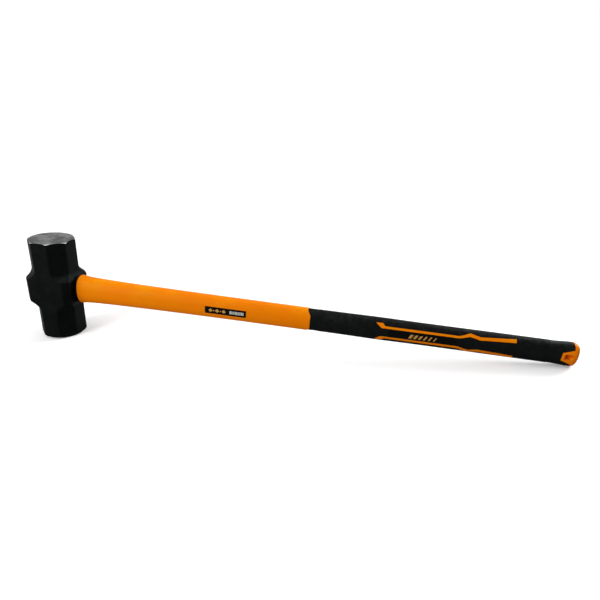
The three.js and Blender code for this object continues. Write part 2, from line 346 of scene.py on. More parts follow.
def ribbon(name, outline, y):
    """Flat strip in the plane at y, with the given outline."""
    (x, low, high), *others = outline
    bpy.ops.mesh.primitive_plane_add(size=1, location=(0, 0, 0), rotation=(math.pi / 2, 0, 0))
    piece = new_piece(name)
    bpy.ops.object.transform_apply(location=True, rotation=True, scale=True)
    edit(piece)
    select("verts", lambda vert: vert.co.x > 0)
    bpy.ops.mesh.delete(type="VERT")
    bpy.ops.mesh.select_all(action="SELECT")
    bpy.ops.transform.translate(value=(x + 0.5, y, (low + high) / 2))
    bpy.ops.transform.resize(value=(1, 1, high - low), center_override=(x, y, (low + high) / 2))
    for next_x, next_low, next_high in others:
        rise = (next_low + next_high - low - high) / 2
        bpy.ops.mesh.extrude_region_move(TRANSFORM_OT_translate={"value": (next_x - x, 0, rise)})
        bpy.ops.transform.resize(
            value=(1, 1, (next_high - next_low) / (high - low)),
            center_override=(next_x, y, (next_low + next_high) / 2),
        )
        x, low, high = next_x, next_low, next_high
    leave()
    return piece


def side_cutter(outline, side, near=2, far=CLEAR):
    """Prism that cuts into one side of the handle, from near to far off its middle plane."""
    piece = ribbon("cutter", outline, side * near)
    edit(piece)
    bpy.ops.mesh.select_all(action="SELECT")
    bpy.ops.mesh.extrude_region_move(TRANSFORM_OT_translate={"value": (0, side * (far - near), 0)})
    leave()
    face_outwards(piece)
    return piece


def slice_up(piece, axis, low, high, step):
    """Cuts a strip across an axis into steps, so that it can follow a curved surface."""
    normal = Vector([letter == axis for letter in "xyz"])
    steps = max(int((high - low) / step), 1)
    edit(piece)
    for place in spread(low, high, steps)[1:-1]:
        bpy.ops.mesh.select_all(action="SELECT")
        bpy.ops.mesh.bisect(plane_co=normal * place, plane_no=normal)
    leave()


def laid_on(name, outline, side, surface, wall, edge=0, step=(6, 0.8)):
    """Strip that follows a surface, cut into steps along X and Z, with rounded edges if asked for."""
    bottom, top = wall
    piece = ribbon(name, outline, side * CLEAR)
    slice_up(piece, "x", outline[0][0], outline[-1][0], step[0])
    slice_up(piece, "z", min(low for _, low, _ in outline), max(high for _, _, high in outline), step[1])
    edit(piece, "FACE")
    bpy.ops.mesh.select_all(action="SELECT")
    facing = sum(face.normal.y for face in bmesh.from_edit_mesh(piece.data).faces)
    if facing * side < 0:
        bpy.ops.mesh.flip_normals()
    leave()
    wrap = piece.modifiers.new("wrap", "SHRINKWRAP")
    wrap.wrap_method = "PROJECT"
    wrap.use_project_y = True
    wrap.use_negative_direction = True
    wrap.use_positive_direction = True
    wrap.target = surface
    wrap.offset = 0
    thicken = piece.modifiers.new("wall", "SOLIDIFY")
    thicken.thickness = top - bottom
    thicken.offset = (top + bottom) / (top - bottom)
    apply_modifiers(piece)
    face_outwards(piece)
    if edge:
        soften(piece, edge, angle=50)
    return piece


def set_in_place(piece, slot, *nodes, materials=(), smooth=40):
    """Puts a finished piece where the CAD nodes that it stands for are, and gives it its finish."""
    piece.matrix_world = HAMMER_TO_ROW
    pick(piece)
    bpy.ops.object.transform_apply(location=True, rotation=True, scale=True)
    bpy.ops.object.shade_smooth_by_angle(angle=math.radians(smooth))
    even = piece.modifiers.new("even", "WEIGHTED_NORMAL")
    even.keep_sharp = True
    even.weight = 90
    apply_modifiers(piece)
    if materials:
        piece.data.materials.clear()
    for material in materials:
        piece.data.materials.append(material)
    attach(piece, "root")
    if nodes:
        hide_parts(*nodes)


# ---- materials: shared tools and effects ----


def add(tree, kind, inputs=None, **settings):
    """A new node. An input is given by name or number, as a value or as another node's output."""
    node = tree.nodes.new(kind)
    for key, value in settings.items():
        setattr(node, key, value)
    for key, value in (inputs or {}).items():
        if isinstance(value, bpy.types.NodeSocket):
            tree.links.new(value, node.inputs[key])
        else:
            node.inputs[key].default_value = value
    return node


def maths(tree, operation, *values):
    """A maths node's result. Each value is a number or another node's output."""
    return add(tree, "ShaderNodeMath", dict(enumerate(values)), operation=operation).outputs[0]


def product(tree, first, *others):
    for value in others:
        first = maths(tree, "MULTIPLY", first, value)
    return first


def band(tree, value, start, end, low=0.0, high=1.0):
    """Goes smoothly from low to high as value goes from start to end."""
    inputs = {"Value": value, "From Min": start, "From Max": end, "To Min": low, "To Max": high}
    node = add(tree, "ShaderNodeMapRange", inputs, interpolation_type="SMOOTHSTEP")
    return node.outputs["Result"]


def mixed(tree, share, first, second):
    """The first colour, going over to the second as share goes from 0 to 1."""
    return add(tree, "ShaderNodeMix", {0: share, 6: first, 7: second}, data_type="RGBA").outputs[2]


def noise(tree, vector, scale, detail, roughness=0.5):
    inputs = {"Vector": vector, "Scale": scale, "Detail": detail, "Roughness": roughness}
    return add(tree, "ShaderNodeTexNoise", inputs).outputs["Fac"]


def effect(name, inputs, outputs):
    """An empty node group with a Vector input, float inputs and float outputs, and its sockets."""
    group = bpy.data.node_groups.new(name, "ShaderNodeTree")
    group.interface.new_socket("Vector", in_out="INPUT", socket_type="NodeSocketVector")
    for key, value in inputs.items():
        socket = group.interface.new_socket(key, in_out="INPUT", socket_type="NodeSocketFloat")
        socket.default_value = value
    for key in outputs:
        group.interface.new_socket(key, in_out="OUTPUT", socket_type="NodeSocketFloat")
    return group, add(group, "NodeGroupInput").outputs, add(group, "NodeGroupOutput").inputs


def make_grain():
    """Moulded or sprayed surface: fine bumps and broad, faint unevenness."""
    group, given, result = effect("surface_grain", {"Fineness": 2.0, "Breadth": 0.06}, ["Fine", "Broad"])
    group.links.new(noise(group, given["Vector"], given["Fineness"], 3, 0.6), result["Fine"])
    group.links.new(noise(group, given["Vector"], given["Breadth"], 4, 0.55), result["Broad"])
    return group


def make_edge_wear():
    """Mask of rubbed edges, broken up by noise."""
    inputs = {"Radius": 0.001, "Amount": 0.5, "Breakup": 0.4}
    group, given, result = effect("edge_wear", inputs, ["Mask"])
    rounded = add(group, "ShaderNodeBevel", {"Radius": given["Radius"]}, samples=6).outputs["Normal"]
    true = add(group, "ShaderNodeNewGeometry").outputs["Normal"]
    same = add(group, "ShaderNodeVectorMath", {0: rounded, 1: true}, operation="DOT_PRODUCT")
    edge = band(group, same.outputs["Value"], 0.995, 0.93)
    torn = band(group, noise(group, given["Vector"], given["Breakup"], 6), 0.45, 0.62)
    group.links.new(product(group, edge, torn, given["Amount"]), result["Mask"])
    return group


def make_dust_and_top_light():
    """Mask strongest on what faces up, in patches: thin dust and handling marks on the paint and the
    rubber, and painted light from above on the orange.
    """
    group, given, result = effect("dust", {"Amount": 0.3, "Patchiness": 0.05}, ["Mask"])
    true = add(group, "ShaderNodeNewGeometry").outputs["Normal"]
    up = add(group, "ShaderNodeSeparateXYZ", {"Vector": true}).outputs["Z"]
    facing_up = band(group, up, -0.2, 1.0, 0.25, 1.0)
    patches = band(group, noise(group, given["Vector"], given["Patchiness"], 8, 0.65), 0.4, 0.7)
    group.links.new(product(group, facing_up, patches, given["Amount"]), result["Mask"])
    return group


def make_scuffs():
    """Mask of long thin rub marks, mostly along the handle."""
    group, given, result = effect("scuffs", {"Density": 0.5, "Amount": 0.5}, ["Mask"])
    stretch = {"Vector": given["Vector"], "Rotation": (0, math.radians(7), 0), "Scale": (0.02, 0.6, 0.9)}
    along = add(group, "ShaderNodeMapping", stretch).outputs["Vector"]
    lines = band(group, noise(group, along, 1, 7, 0.75), 0.60, 0.68)
    where = band(group, noise(group, given["Vector"], given["Density"], 2), 0.5, 0.65)
    group.links.new(product(group, lines, where, given["Amount"]), result["Mask"])
    return group


GRAIN = make_grain()
SCUFFS = make_scuffs()
EDGE_WEAR = make_edge_wear()
DUST_AND_TOP_LIGHT = make_dust_and_top_light()


def placed(tree, group, vector, **values):
    """Puts a shared effect in a material, with the material's own values, and gives its outputs."""
    return add(tree, "ShaderNodeGroup", {"Vector": vector, **values}, node_tree=group).outputs


def finish_of(name, specular=0.5):
    """A new material: its tree, its shader and the hammer's own coordinates in it, in mm."""
    material = bpy.data.materials.new(name)
    material.use_nodes = True
    tree = material.node_tree
    shader = tree.nodes["Principled BSDF"]
    shader.inputs["Specular IOR Level"].default_value = specular
    where = add(tree, "ShaderNodeTexCoord").outputs["Object"]
    frame_of_hammer = {"Vector": where, "Location": EYE, "Rotation": (0, LEAN, 0), "Scale": (MM, MM, MM)}
    at = add(tree, "ShaderNodeMapping", frame_of_hammer, vector_type="TEXTURE").outputs["Vector"]
    return material, tree, shader, at


def give(tree, shader, **values):
    """Sets or links the shader's sockets, whose names are written with underscores."""
    for key, value in values.items():
        socket = shader.inputs[key.replace("_", " ")]
        if isinstance(value, bpy.types.NodeSocket):
            tree.links.new(value, socket)
        else:
            socket.default_value = value


def bumped(tree, height, depth, normal=None):
    """Bump from a height of 0 to 1, with its real depth in mm, on top of an earlier bump or none."""
    inputs = {"Height": height, "Distance": depth * MM, "Strength": 1.0}
    if normal is not None:
        inputs["Normal"] = normal
    return add(tree, "ShaderNodeBump", inputs).outputs["Normal"]


def rgb(red, green, blue):
    return (red, green, blue, 1)


# ---- materials: the hammer's finishes ----


def black_paint():
    """Satin paint on the forging: faint grain, a little dust, and rubbed where it has edges."""
    material, tree, shader, at = finish_of("head_black_paint", specular=0.05)
    grain = placed(tree, GRAIN, at, Fineness=0.9, Breadth=0.045)
    wear = placed(tree, EDGE_WEAR, at, Radius=0.0014, Amount=0.35, Breakup=0.35)["Mask"]
    dust = placed(tree, DUST_AND_TOP_LIGHT, at, Amount=0.06, Patchiness=0.06)["Mask"]
    scuffs = placed(tree, SCUFFS, at, Density=0.03, Amount=0.5)["Mask"]
    colour = mixed(tree, grain["Broad"], rgb(0.0009, 0.0020, 0.0016), rgb(0.0028, 0.0046, 0.0040))
    colour = mixed(tree, dust, colour, rgb(0.10, 0.105, 0.10))
    colour = mixed(tree, product(tree, scuffs, 0.12), colour, rgb(0.08, 0.08, 0.08))
    colour = mixed(tree, wear, colour, rgb(0.12, 0.118, 0.115))
    roughness = maths(tree, "ADD", band(tree, grain["Broad"], 0.3, 0.7, 0.32, 0.46), dust)
    roughness = maths(tree, "ADD", roughness, product(tree, scuffs, 0.15))
    normal = bumped(tree, grain["Fine"], 0.05, bumped(tree, grain["Broad"], 0.5))
    metallic = product(tree, wear, 0.8)
    give(tree, shader, Base_Color=colour, Metallic=metallic, Roughness=roughness, Normal=normal)
    return material


def ground_steel():
    """Steel ground on a belt: scratches across it, patches of polish, and a painted highlight on the
    turned round, whose colour is made brighter.
    """
    material, tree, shader, at = finish_of("ground_steel_face")
    belt = {"Vector": at, "Rotation": (0, 0, math.radians(28)), "Scale": (0.09, 2.4, 0.4)}
    scratches = noise(tree, add(tree, "ShaderNodeMapping", belt).outputs["Vector"], 1, 6, 0.7)
    grain = placed(tree, GRAIN, at, Fineness=0.35, Breadth=0.055)
    height = maths(tree, "ABSOLUTE", add(tree, "ShaderNodeSeparateXYZ", {"Vector": at}).outputs["Z"])
    # painted highlight: the turned round below each face is marked out, to stand in for the light its
    # curve catches
    painted_rim_highlight = band(tree, height, HEAD_HIGH.z - 0.6, HEAD_HIGH.z - 1.6)
    polish = band(tree, grain["Broad"], 0.38, 0.62)
    colour = mixed(tree, polish, rgb(0.13, 0.13, 0.13), rgb(0.33, 0.33, 0.325))
    colour = mixed(tree, band(tree, grain["Fine"], 0.52, 0.7, 0, 0.7), colour, rgb(0.10, 0.10, 0.098))
    # painted rim highlight mixed into the colour
    colour = mixed(tree, product(tree, painted_rim_highlight, 0.75), colour, rgb(0.50, 0.50, 0.49))
    roughness = band(tree, grain["Broad"], 0.35, 0.65, 0.46, 0.28)
    normal = bumped(tree, grain["Broad"], 0.5, bumped(tree, scratches, 0.03))
    give(tree, shader, Base_Color=colour, Metallic=1.0, Roughness=roughness, Normal=normal)
    return material


def orange_plastic():
    """Moulded plastic with a fine satin grain, a painted lighter, yellower top standing in for light
    from above, and a raised mould seam.
    """
    material, tree, shader, at = finish_of("orange_polypropylene", specular=0.04)
    grain = placed(tree, GRAIN, at, Fineness=0.9, Breadth=0.03)
    # painted top light: a mask strongest on what faces up, standing in for light from above
    painted_top_light = placed(tree, DUST_AND_TOP_LIGHT, at, Amount=0.45, Patchiness=0.02)["Mask"]
    wear = placed(tree, EDGE_WEAR, at, Radius=0.0008, Amount=0.35, Breakup=0.5)["Mask"]
    scuffs = placed(tree, SCUFFS, at, Density=0.02, Amount=0.6)["Mask"]
    colour = mixed(tree, grain["Broad"], rgb(0.78, 0.182, 0.0), rgb(0.85, 0.208, 0.0))
    # painted top light: what faces up is made lighter and yellower
    colour = mixed(tree, painted_top_light, colour, rgb(0.78, 0.34, 0.0))
    colour = mixed(tree, product(tree, scuffs, 0.35), colour, rgb(0.88, 0.34, 0.05))
    colour = mixed(tree, wear, colour, rgb(0.90, 0.34, 0.03))
    roughness = band(tree, grain["Broad"], 0.3, 0.7, 0.4, 0.52)
    roughness = maths(tree, "ADD", roughness, product(tree, scuffs, 0.2))
    across = maths(tree, "ABSOLUTE", add(tree, "ShaderNodeSeparateXYZ", {"Vector": at}).outputs["Y"])
    seam = band(tree, across, 0.35, 0.1)
    normal = bumped(tree, grain["Fine"], 0.03, bumped(tree, seam, 0.12))
    give(tree, shader, Base_Color=colour, Roughness=roughness, Normal=normal)
    return material


def black_rubber():
    """Matt rubber with a fine grain and a little dust on what faces up."""
    material, tree, shader, at = finish_of("black_grip_rubber", specular=0.07)
    grain = placed(tree, GRAIN, at, Fineness=3.2, Breadth=0.05)
    dust = placed(tree, DUST_AND_TOP_LIGHT, at, Amount=0.11, Patchiness=0.12)["Mask"]
    colour = mixed(tree, grain["Broad"], rgb(0.0022, 0.0028, 0.0027), rgb(0.0048, 0.0055, 0.0054))
    colour = mixed(tree, dust, colour, rgb(0.085, 0.088, 0.088))
    roughness = band(tree, grain["Broad"], 0.3, 0.7, 0.62, 0.78)
    give(tree, shader, Base_Color=colour, Roughness=roughness, Normal=bumped(tree, grain["Fine"], 0.05))
    return material


def smooth_black(name, shade, roughness_low, roughness_high):
    """Black plastic or film, from satin to nearly glossy."""
    material, tree, shader, at = finish_of(name, specular=0.07)
    grain = placed(tree, GRAIN, at, Fineness=2.4, Breadth=0.08)
    dark = rgb(shade, shade, shade * 1.05)
    light = rgb(shade * 1.7, shade * 1.7, shade * 1.75)
    colour = mixed(tree, grain["Broad"], dark, light)
    roughness = band(tree, grain["Broad"], 0.3, 0.7, roughness_low, roughness_high)
    give(tree, shader, Base_Color=colour, Roughness=roughness, Normal=bumped(tree, grain["Fine"], 0.015))
    return material


def printed(name, full, thin):
    """Screen-printed ink, thin in places."""
    material, tree, shader, at = finish_of(name, specular=0.4)
    grain = placed(tree, GRAIN, at, Fineness=2.0, Breadth=0.5)
    colour = mixed(tree, band(tree, grain["Broad"], 0.5, 0.75), full, thin)
    give(tree, shader, Base_Color=colour, Roughness=band(tree, grain["Fine"], 0.3, 0.7, 0.4, 0.55))
    return material


def sawn_fibreglass():
    """End of the bar: glass bundles as pale dots in resin."""
    material, tree, shader, at = finish_of("sawn_fibreglass")
    bundles = add(tree, "ShaderNodeTexVoronoi", {"Vector": at, "Scale": 1.4, "Randomness": 1.0})
    resin = band(tree, bundles.outputs["Distance"], 0.25, 0.6)
    grain = placed(tree, GRAIN, at, Fineness=4.0, Breadth=0.1)
    colour = mixed(tree, resin, rgb(0.66, 0.60, 0.40), rgb(0.33, 0.25, 0.11))
    colour = mixed(tree, band(tree, grain["Broad"], 0.4, 0.7, 0, 0.5), colour, rgb(0.20, 0.16, 0.09))
    give(tree, shader, Base_Color=colour, Roughness=0.62, Normal=bumped(tree, grain["Fine"], 0.12))
    return material


def amber_epoxy():
    """Poured epoxy: amber, uneven and glossy."""
    material, tree, shader, at = finish_of("amber_epoxy")
    grain = placed(tree, GRAIN, at, Fineness=0.5, Breadth=0.12)
    colour = mixed(tree, grain["Broad"], rgb(0.07, 0.035, 0.008), rgb(0.17, 0.095, 0.028))
    roughness = band(tree, grain["Broad"], 0.3, 0.7, 0.12, 0.3)
    give(tree, shader, Base_Color=colour, Roughness=roughness, Normal=bumped(tree, grain["Fine"], 0.25))
    return material


PAINT = black_paint()
STEEL = ground_steel()
ORANGE = orange_plastic()
RUBBER = black_rubber()
NYLON = smooth_black("collar_black_nylon", 0.0025, 0.42, 0.58)
BADGE_PLASTIC = smooth_black("glossy_black_badge", 0.0012, 0.3, 0.4)
FILM = smooth_black("black_label_film", 0.002, 0.2, 0.3)
GREY_INK = printed("grey_ink", rgb(0.42, 0.44, 0.40), rgb(0.26, 0.27, 0.25))
GOLD_INK = printed("gold_ink", rgb(0.52, 0.27, 0.055), rgb(0.34, 0.15, 0.02))
FIBREGLASS = sawn_fibreglass()
EPOXY = amber_epoxy()


# ---- head ----


def block_share(z):
    """0 on the octagonal ends, 1 on the eye block, with a hollow blend between."""
    share = (BLEND_END_Z - abs(z)) / (BLEND_END_Z - BLOCK_HALF_Z)
    return min(max(share, 0), 1) ** BLEND_HOLLOW


def plan_corners(z):
    """Corner towards the handle and corner towards the cheek, as the head's plan has them at z."""
    half = HEAD_HIGH.y
    corner = half * math.tan(math.pi / 8)
    share = block_share(z)
    along = (half + (HEAD_HIGH.x - half) * share, corner + (half - BLOCK_CHAMFER - corner) * share)
    sideways = (corner + (HEAD_HIGH.x - BLOCK_CHAMFER - corner) * share, half)
    return along, sideways


def reshape_ring(z, before, after):
    """Moves the eight corners of the ring at z from one plan to the next."""
    for along, old, new in ((True, before[0], after[0]), (False, before[1], after[1])):
        select(
            "verts",
            lambda vert: abs(vert.co.z - z) < 0.01 and (abs(vert.co.x) > abs(vert.co.y)) == along,
        )
        bpy.ops.transform.resize(value=(new[0] / old[0], new[1] / old[1], 1), center_override=(0, 0, z))


def forged_head():
    """The forging, longer than the finished head: eye block, hollow blends and octagonal ends."""
    bpy.ops.mesh.primitive_cylinder_add(
        vertices=8, radius=HEAD_HIGH.y / math.cos(math.pi / 8), depth=2 * BLOCK_HALF_Z,
        rotation=(0, 0, math.pi / 8),
    )
    piece = new_piece("head_forging")
    bpy.ops.object.transform_apply(location=True, rotation=True, scale=True)
    edit(piece)
    for end in (-1, 1):
        reshape_ring(end * BLOCK_HALF_Z, plan_corners(BLEND_END_Z), plan_corners(BLOCK_HALF_Z))
    for end in (-1, 1):
        z = end * BLOCK_HALF_Z
        for height in spread(BLOCK_HALF_Z, BLEND_END_Z, BLEND_STEPS)[1:] + [HEAD_HIGH.z + 2]:
            next_z = end * height
            bpy.ops.mesh.select_mode(type="FACE")
            select("faces", lambda face: abs(face.calc_center_median().z - z) < 0.01)
            bpy.ops.mesh.extrude_region_move(TRANSFORM_OT_translate={"value": (0, 0, next_z - z)})
            bpy.ops.mesh.select_mode(type="VERT")
            reshape_ring(next_z, plan_corners(z), plan_corners(next_z))
            z = next_z
    leave()
    face_outwards(piece)
    soften(piece, FORGED_EDGE, angle=18, segments=4)
    clean(piece, 0.05)
    piece.data.materials.append(PAINT)
    return piece


def turned_ends():
    """What the lathe leaves of the head: a crowned face and a rounded edge at both ends."""
    below_round = HEAD_HIGH.z - TURNED_RADIUS - 1
    bpy.ops.mesh.primitive_cylinder_add(
        vertices=TURNED_SIDES, radius=FACE_RADIUS + TURNED_RADIUS, depth=2 * (HEAD_HIGH.z - FACE_CROWN)
    )
    piece = new_piece("turned_ends")
    edit(piece, "EDGE")
    select("edges", lambda edge: abs(sum(vert.co.z for vert in edge.verts)) > 2 * below_round)
    bpy.ops.mesh.bevel(offset=TURNED_RADIUS, segments=8, profile=0.5, affect="EDGES")
    bpy.ops.mesh.select_mode(type="FACE")
    for end in (-1, 1):
        select("faces", lambda face: len(face.verts) == TURNED_SIDES and face.normal.z * end > 0.9)
        risen = 0
        for share in spread(0, 1, FACE_RINGS)[1:-1] + [0.95]:
            rise = FACE_CROWN * math.sin(share * math.pi / 2) ** 2
            bpy.ops.mesh.inset(thickness=FACE_RADIUS / FACE_RINGS)
            bpy.ops.transform.translate(value=(0, 0, end * (rise - risen)))
            risen = rise
    for place in (-below_round, below_round, 1 - below_round, below_round - 1):
        bpy.ops.mesh.select_all(action="SELECT")
        bpy.ops.mesh.bisect(plane_co=(0, 0, place), plane_no=(0, 0, 1))
    select("verts", lambda vert: abs(vert.co.z) < below_round - 0.5)
    bpy.ops.transform.resize(value=(2, 2, 1), center_override=(0, 0, 0))
    leave()
    face_outwards(piece)
    piece.data.materials.append(STEEL)
    return piece


def head():
    """Painted forging with its ends turned to steel and a tapered, flared eye through it."""
    piece = forged_head()
    combine(piece, turned_ends(), "INTERSECT")
    face = HEAD_HIGH.x
    eye = oval_bar("eye", [
        *[(-face + depth, *wider(EYE_TOP, margin)) for depth, margin in TOP_FLARE],
        *[(face - depth, *wider(EYE_MOUTH, margin)) for depth, margin in MOUTH_FLARE],
    ])
    eye.data.materials.append(PAINT)
    combine(piece, eye, "DIFFERENCE")
    set_in_place(piece, "head_paint", "head", smooth=32)


def core_bore(start, end):
    """Cutter for the hole that the fibreglass bar goes through."""
    half_section = wider(CORE_HALF, GAP)
    return oval_bar("bore", [(start, *half_section), (end, *half_section)])


def eye_potting():
    """Epoxy plug round the bar, sunk and dished on the far side."""
    start = POTTING_RECESS - HEAD_HIGH.x
    end = COLLAR_LOW.x - GAP
    piece = oval_bar("eye_potting", [
        (start + POTTING_SINK, *wider(CORE_HALF, 0.4)),
        (start + POTTING_SINK, *wider(CORE_HALF, 1.2)),
        (start + 0.4, *wider(EYE_TOP, -2.2)),
        (start, *wider(EYE_TOP, -GAP)),
        (start + 1.2, *wider(EYE_TOP, -GAP)),
        (end, *wider(EYE_MOUTH, -GAP)),
    ])
    combine(piece, core_bore(start - PAST, end + PAST), "DIFFERENCE")
    set_in_place(piece, "eye_epoxy", "eye_resin", materials=[EPOXY], smooth=35)


def core():
    """Fibreglass bar, its sawn edge broken where it shows in the eye."""
    piece = oval_bar("handle_core_bar", [
        (CORE_LOW.x, *wider(CORE_HALF, -SAWN_EDGE)),
        (CORE_LOW.x + SAWN_EDGE, *CORE_HALF),
        (CORE_HIGH.x, *CORE_HALF),
    ])
    set_in_place(piece, "fibreglass", "handle_core", materials=[FIBREGLASS], smooth=35)


def collar():
    """Grooved ring against the head, with a spigot in the mouth of the eye."""
    seat = HEAD_HIGH.x + GAP
    spigot = wider(EYE_MOUTH, -GAP)
    piece = oval_bar("eye_collar_ring", [
        (COLLAR_LOW.x, *spigot),
        (seat, *spigot),
        *[(seat + along, *wider(COLLAR_HALF, rise)) for along, rise in COLLAR_GROOVE],
        *[(COLLAR_HIGH.x + along, *wider(COLLAR_HALF, rise)) for along, rise in COLLAR_NOSE],
    ])
    combine(piece, core_bore(COLLAR_LOW.x - PAST, COLLAR_HIGH.x + PAST), "DIFFERENCE")
    set_in_place(piece, "black_nylon", "eye_collar", materials=[NYLON])


# ---- handle ----


def form(start, end, half_height):
    """Smooth copy of a stretch of the handle, for strips to be laid on."""
    steps = int((end - start) / 5)
    return oval_bar("form", surface_stations(spread(start, end, steps), half_height), sides=160)


def parting_cutter(margin):
    """Block whose end follows the line where the jacket stops and the grip starts."""
    reach = 30
    slanted = PARTING_X - PARTING_SLANT * (reach - PARTING_HALF_Z)
    outline = [
        (300, -reach, reach),
        (slanted + margin, -reach, reach),
        (PARTING_X + margin, -PARTING_HALF_Z, PARTING_HALF_Z),
    ]
    return side_cutter(outline, FRONT, near=-CLEAR)


def jacket_lip():
    """Stations of the quarter round at the mouth of the jacket."""
    stations = []
    for angle in spread(0, math.pi / 2, 6):
        x = JACKET_LOW.x + JACKET_LIP * (1 - math.cos(angle))
        half = jacket_half(x) - JACKET_LIP * (1 - math.sin(angle))
        stations.append((x, half * THICKNESS_RATIO, half))
    return stations


def jacket():
    """Flared shell, cut to its parting line, stepped down under the grip, with the label's pocket."""
    xs = spread(47, 60, 6) + spread(64, 100, 8) + spread(110, 420, 20) + [PARTING_X + 1]
    piece = oval_bar("handle_jacket_shell", jacket_lip() + surface_stations(xs, jacket_half))
    edit(piece)
    for z, rise in ((0, 0), (PARTING_HALF_Z, PARTING_SLANT), (-PARTING_HALF_Z, -PARTING_SLANT)):
        bpy.ops.mesh.select_all(action="SELECT")
        bpy.ops.mesh.bisect(
            plane_co=(PARTING_X, 0, z), plane_no=Vector((1, 0, rise)).normalized(), clear_outer=True,
            use_fill=True,
        )
    leave()
    face_outwards(piece)
    under_grip = oval_bar("under_grip", [(60, *UNDER_GRIP), (JACKET_HIGH.x, *UNDER_GRIP)])
    combine(piece, under_grip, "UNION")
    soften(piece, 0.5, angle=50, segments=3)
    combine(piece, core_bore(JACKET_LOW.x - PAST, JACKET_HIGH.x + PAST), "DIFFERENCE")
    surface = form(*LABEL_FORM, jacket_half)
    pocket = laid_on("pocket", grown(LABEL, GAP), FRONT, surface, LABEL_POCKET_WALL)
    combine(piece, pocket, "DIFFERENCE")
    remove(surface)
    set_in_place(piece, "orange_plastic", "handle_jacket", materials=[ORANGE])


def ribbed_bar():
    """The grip before it swells: one pitch is modelled and repeated, and both ends are drawn out."""
    half_section = (GRIP_HALF_Z * THICKNESS_RATIO, GRIP_HALF_Z)
    piece = oval_bar(
        "grip_rubber", [(x, *half_section) for x in sorted((*RIB_FOOT, *RIB_TOP, RIB_PITCH))]
    )
    edit(piece)
    half_rise = 1 + RIB_HEIGHT / 2 / GRIP_HALF_Z
    for x in RIB_TOP:
        for inner in (RIB_BAND_Z, RIB_BAND_Z + RIB_FADE_Z):
            select("verts", lambda vert: abs(vert.co.x - x) < 0.01 and abs(vert.co.z) > inner)
            bpy.ops.transform.resize(value=(1, half_rise, half_rise), center_override=(x, 0, 0))
    bpy.ops.mesh.select_mode(type="FACE")
    select("faces", lambda face: len(face.verts) > 4)
    bpy.ops.mesh.delete(type="FACE")
    leave()
    ribs = piece.modifiers.new("ribs", "ARRAY")
    ribs.use_relative_offset = False
    ribs.use_constant_offset = True
    ribs.constant_offset_displace = (RIB_PITCH, 0, 0)
    ribs.count = RIB_COUNT
    ribs.use_merge_vertices = True
    ribs.merge_threshold = 0.001
    apply_modifiers(piece)
    edit(piece, "EDGE")
    bpy.ops.mesh.select_all(action="SELECT")
    bpy.ops.transform.translate(value=(RIBS_START_X, 0, 0))
    ribs_end_x = RIBS_START_X + RIB_PITCH * RIB_COUNT
    to_cap = spread(ribs_end_x, CAP_START_X - GAP, 6)[1:]
    past_parting = [440, 430, 415]      # the surplus is cut off along the parting line
    for x, stops in ((ribs_end_x, to_cap), (RIBS_START_X, past_parting)):
        select("edges", lambda edge: all(abs(vert.co.x - x) < 0.01 for vert in edge.verts))
        for stop in stops:
            bpy.ops.mesh.extrude_region_move(TRANSFORM_OT_translate={"value": (stop - x, 0, 0)})
            x = stop
        bpy.ops.mesh.edge_face_add()
    leave()
    face_outwards(piece)
    return piece


def swell(piece):
    """Swells the straight grip at the palm and the butt, corner by corner, as it has over 400 rings."""
    for vertex in piece.data.vertices:
        scale = grip_half(vertex.co.x) / GRIP_HALF_Z
        vertex.co.y *= scale
        vertex.co.z *= scale


def grip():
    """Ribbed rubber sleeve with windows for the inlays and the cap's tongues, and badge pockets."""
    piece = ribbed_bar()
    swell(piece)
    combine(piece, parting_cutter(GAP), "DIFFERENCE")
    half_section = wider(UNDER_GRIP, GAP)
    bore = oval_bar("bore", [(400, *half_section), (CAP_START_X + PAST, *half_section)])
    combine(piece, bore, "DIFFERENCE")
    for side in (FRONT, REAR):
        for outline in (UPPER_INLAY, mirrored(UPPER_INLAY), TONGUE):
            combine(piece, side_cutter(grown(outline, GAP), side), "DIFFERENCE")
        pocket = side_cutter(grown(BADGE, GAP), side, near=BADGE_POCKET_FLOOR)
        combine(piece, pocket, "DIFFERENCE")
    set_in_place(piece, "black_rubber", "grip_sleeve", materials=[RUBBER], smooth=50)


def hang_hole_cutter():
    """Slot through the cap, with one slanted end and rounded corners."""
    piece = side_cutter(HANG_HOLE, FRONT, near=-CLEAR)
    edit(piece, "EDGE")
    select(
        "edges",
        lambda edge: abs(edge.verts[0].co.y - edge.verts[1].co.y) > 1 and edge.calc_face_angle() > 0.3,
    )
    bpy.ops.mesh.bevel(
        offset=HANG_HOLE_CORNER, segments=4, profile=0.5, affect="EDGES", clamp_overlap=True
    )
    leave()
    return piece


def butt_cap():
    """Domed cap with a plug in the grip, a tongue on each side and a hole to hang it by."""
    full = grip_half(CAP_START_X)
    stand_out, pull_in = CAP_DOME
    dome = []
    for angle in spread(0, math.pi / 2, 12):
        inset = pull_in * (1 - math.cos(angle))
        x = CAP_HIGH.x + CAP_PROUD - stand_out * (1 - math.sin(angle))
        dome.append((x, full * THICKNESS_RATIO - inset, full - inset))
    piece = oval_bar("butt_cap_plug", [
        (CAP_LOW.x, *UNDER_GRIP),
        (CAP_START_X, *UNDER_GRIP),
        (CAP_START_X, full * THICKNESS_RATIO, full),
        *dome,
    ])
    for side in (FRONT, REAR):
        xs = spread(TONGUE[0][0] - 1, CAP_START_X + 0.5, 10)
        tongue = oval_bar("tongue", surface_stations(xs, grip_half, TONGUE_PROUD))
        combine(tongue, side_cutter(TONGUE, side), "INTERSECT")
        combine(piece, tongue, "UNION")
    combine(piece, hang_hole_cutter(), "DIFFERENCE")
    clean(piece, 0.02)
    soften(piece, 0.45, angle=45)
    clean(piece, 0.01)
    set_in_place(piece, "orange_plastic", "butt_cap", materials=[ORANGE])


